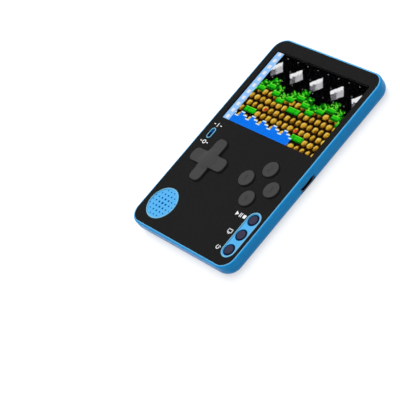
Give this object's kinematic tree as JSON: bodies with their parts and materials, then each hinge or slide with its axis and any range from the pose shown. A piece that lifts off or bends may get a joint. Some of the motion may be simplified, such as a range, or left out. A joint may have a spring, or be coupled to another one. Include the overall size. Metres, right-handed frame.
{
  "type": "handheld game console",
  "caption": "Slim card-sized handheld game console: colour screen, cross pad, round action buttons, loudspeaker grille, slide switch and charging port in the side.",
  "frame": {"origin": "middle of the flat back face, on the surface that the console lies on", "axes": "+Y towards the screen end, +X to the right as seen by a player looking at the screen, +Z out of the front face"},
  "size_m": [0.0568, 0.088, 0.0077],
  "materials": {
    "blue_shell": "satin",
    "black_gloss": "gloss",
    "clear_window": "clear, gloss",
    "display_glass": "gloss, lit picture",
    "white_frame": "matte",
    "black_foam": "matte",
    "amber_film": "satin",
    "ivory_plastic": "satin",
    "green_board": "satin",
    "black_epoxy": "satin",
    "steel": "satin",
    "bright_metal": "gloss",
    "black_button": "satin",
    "purple_button": "satin",
    "navy_plastic": "satin",
    "silicone": "matte",
    "battery_foil": "satin",
    "wire": "satin",
    "cone_film": "satin",
    "mesh_cloth": "matte"
  },
  "bodies": {
    "housing": {"back_cover": "blue_shell", "back_screws": "steel", "battery": "battery_foil", "battery_leads": "wire", "battery_socket": "ivory_plastic", "board_screws": "steel", "crystal": "steel", "face_pad": "silicone", "flash_memory": "black_epoxy", "front_panel": "black_gloss", "front_shell": "blue_shell", "lcd_backlight": "white_frame", "lcd_gasket": "black_foam", "lcd_glass": "display_glass", "lcd_ribbon": "amber_film", "lcd_socket": "ivory_plastic", "main_board": "green_board", "menu_pad": "silicone", "power_switch_body": "steel", "processor": "black_epoxy", "screen_window": "clear_window", "speaker_basket": "steel", "speaker_cone": "cone_film", "speaker_leads": "wire", "speaker_mesh": "mesh_cloth", "usb_connector": "bright_metal", "usb_insulator": "black_epoxy"},
    "d_pad_rocker": {"d_pad_pivot": "white_frame"},
    "d_pad_cross": {"d_pad": "black_button", "d_pad_rubber": "silicone"},
    "switch_slider": {"power_switch_knob": "navy_plastic"},
    "face_left": {"face_button_left": "black_button", "face_key_left": "silicone"},
    "face_top": {"face_button_top": "black_button", "face_key_top": "silicone"},
    "face_right": {"face_button_right": "black_button", "face_key_right": "silicone"},
    "face_bottom": {"face_button_bottom": "black_button", "face_key_bottom": "silicone"},
    "menu_top": {"menu_button_top": "purple_button", "menu_key_top": "silicone"},
    "menu_middle": {"menu_button_middle": "purple_button", "menu_key_middle": "silicone"},
    "menu_bottom": {"menu_button_bottom": "purple_button", "menu_key_bottom": "silicone"}
  },
  "joints": [
    {"name": "d_pad_up_down", "type": "hinge", "parent": "housing", "child": "d_pad_rocker", "pos_m": [-0.01434, -0.01151, 0.0038], "axis": [1, 0, 0], "range_deg": [-2, 2], "stiffness_Nm_per_rad": 0.3},
    {"name": "d_pad_left_right", "type": "hinge", "parent": "d_pad_rocker", "child": "d_pad_cross", "pos_m": [-0.01434, -0.01151, 0.0038], "axis": [0, 1, 0], "range_deg": [-2, 2], "stiffness_Nm_per_rad": 0.3},
    {"name": "face_left_press", "type": "slide", "parent": "housing", "child": "face_left", "axis": [0, 0, -1], "range_m": [0, 0.0005], "stiffness_N_per_m": 3000},
    {"name": "face_top_press", "type": "slide", "parent": "housing", "child": "face_top", "axis": [0, 0, -1], "range_m": [0, 0.0005], "stiffness_N_per_m": 3000},
    {"name": "face_right_press", "type": "slide", "parent": "housing", "child": "face_right", "axis": [0, 0, -1], "range_m": [0, 0.0005], "stiffness_N_per_m": 3000},
    {"name": "face_bottom_press", "type": "slide", "parent": "housing", "child": "face_bottom", "axis": [0, 0, -1], "range_m": [0, 0.0005], "stiffness_N_per_m": 3000},
    {"name": "menu_top_press", "type": "slide", "parent": "housing", "child": "menu_top", "axis": [0, 0, -1], "range_m": [0, 0.0004], "stiffness_N_per_m": 3000},
    {"name": "menu_middle_press", "type": "slide", "parent": "housing", "child": "menu_middle", "axis": [0, 0, -1], "range_m": [0, 0.0004], "stiffness_N_per_m": 3000},
    {"name": "menu_bottom_press", "type": "slide", "parent": "housing", "child": "menu_bottom", "axis": [0, 0, -1], "range_m": [0, 0.0004], "stiffness_N_per_m": 3000},
    {"name": "power_switch_slide", "type": "slide", "parent": "housing", "child": "switch_slider", "axis": [0, 1, 0], "range_m": [0, 0.0015]}
  ]
}
